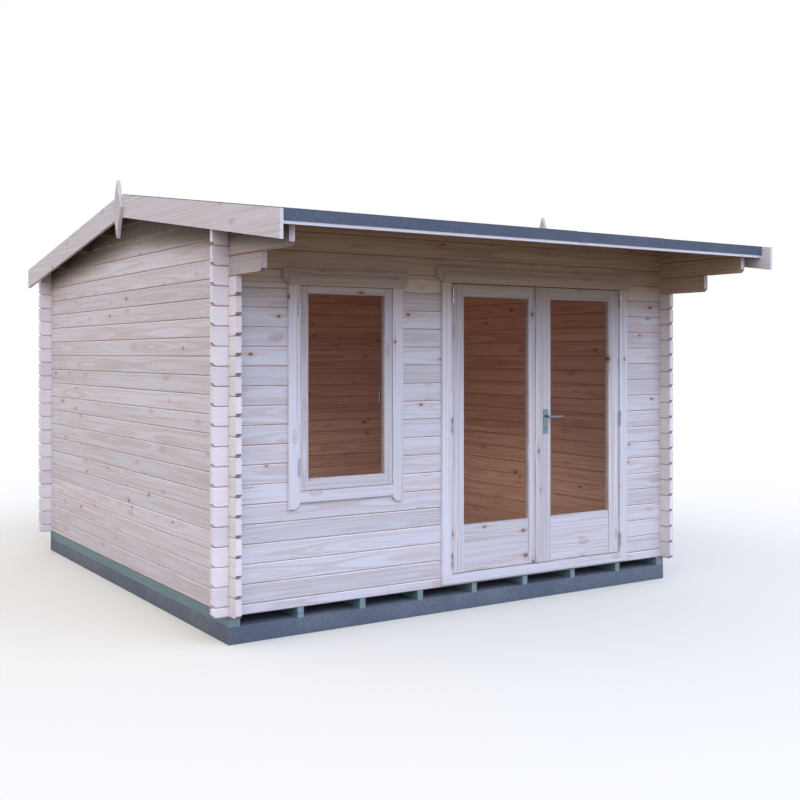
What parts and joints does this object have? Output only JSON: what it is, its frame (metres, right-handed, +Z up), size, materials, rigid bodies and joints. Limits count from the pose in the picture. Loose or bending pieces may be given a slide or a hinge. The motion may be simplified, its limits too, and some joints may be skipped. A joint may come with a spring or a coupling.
{
  "type": "log cabin",
  "caption": "Garden log cabin of interlocking notched logs with a low gabled felt roof, a front canopy on stepped corbel logs, a tall fixed window and glazed doors that swing outward.",
  "frame": {"origin": "on the ground under the middle of the ridge, at the centre of the bottom of the overall bounding box", "axes": "+X to the right seen from the front, along the ridge; +Y from the front to the back; +Z up"},
  "size_m": [3.768, 4.8, 2.834],
  "materials": {
    "concrete": "rough cast concrete",
    "treated_timber": "green pressure-treated softwood",
    "floor_timber": "planed softwood boards",
    "log_timber": "planed untreated softwood",
    "roof_timber": "planed softwood boards",
    "trim_timber": "planed untreated softwood",
    "door_timber": "planed untreated softwood",
    "roofing_felt": "mineral-faced roofing felt",
    "glazing": "clear",
    "hinge_steel": "zinc plated",
    "handle_metal": "satin"
  },
  "bodies": {
    "cabin": {"concrete_plinth": "concrete", "floor_bearers": "treated_timber", "floor_boards": "floor_timber", "front_sill_log": "log_timber", "front_wall_left": "log_timber", "front_wall_right": "log_timber", "front_wall_top": "log_timber", "back_wall_logs": "log_timber", "left_wall_logs": "log_timber", "right_wall_logs": "log_timber", "left_corbel_logs": "log_timber", "right_corbel_logs": "log_timber", "left_gable_logs": "log_timber", "right_gable_logs": "log_timber", "roof_purlins": "roof_timber", "front_roof_boards": "roof_timber", "back_roof_boards": "roof_timber", "roof_felt": "roofing_felt", "eaves_fascias": "trim_timber", "left_bargeboards": "trim_timber", "right_bargeboards": "trim_timber", "gable_finials": "trim_timber", "window_frame": "trim_timber", "window_sash": "trim_timber", "window_glass": "glazing", "window_head_trim": "trim_timber", "window_side_trims": "trim_timber", "window_apron_trim": "trim_timber", "window_hinges": "hinge_steel", "window_catch": "handle_metal", "door_frame": "trim_timber", "door_threshold": "trim_timber", "door_side_trims": "trim_timber", "door_head_trim": "trim_timber", "door_hinge_pins": "hinge_steel"},
    "left_door": {"left_door_leaf": "door_timber", "left_door_panel": "door_timber", "left_door_glass": "glazing", "left_door_hinges": "hinge_steel"},
    "right_door": {"right_door_leaf": "door_timber", "right_door_panel": "door_timber", "right_door_glass": "glazing", "right_door_hinges": "hinge_steel", "door_handle_plate": "handle_metal"},
    "door_lever": {"door_lever": "handle_metal"}
  },
  "joints": [
    {"name": "left_door_hinge", "type": "hinge", "parent": "cabin", "child": "left_door", "pos_m": [-0.19, -1.548, 1.2], "axis": [0, 0, -1], "range_deg": [0, 110]},
    {"name": "right_door_hinge", "type": "hinge", "parent": "cabin", "child": "right_door", "pos_m": [1.281, -1.548, 1.2], "axis": [0, 0, 1], "range_deg": [0, 110]},
    {"name": "lever_turn", "type": "hinge", "parent": "right_door", "child": "door_lever", "pos_m": [0.5965, -1.548, 1.232], "axis": [0, 1, 0], "range_deg": [0, 40], "stiffness_Nm_per_rad": 0.6, "springref_deg": -22.92}
  ]
}
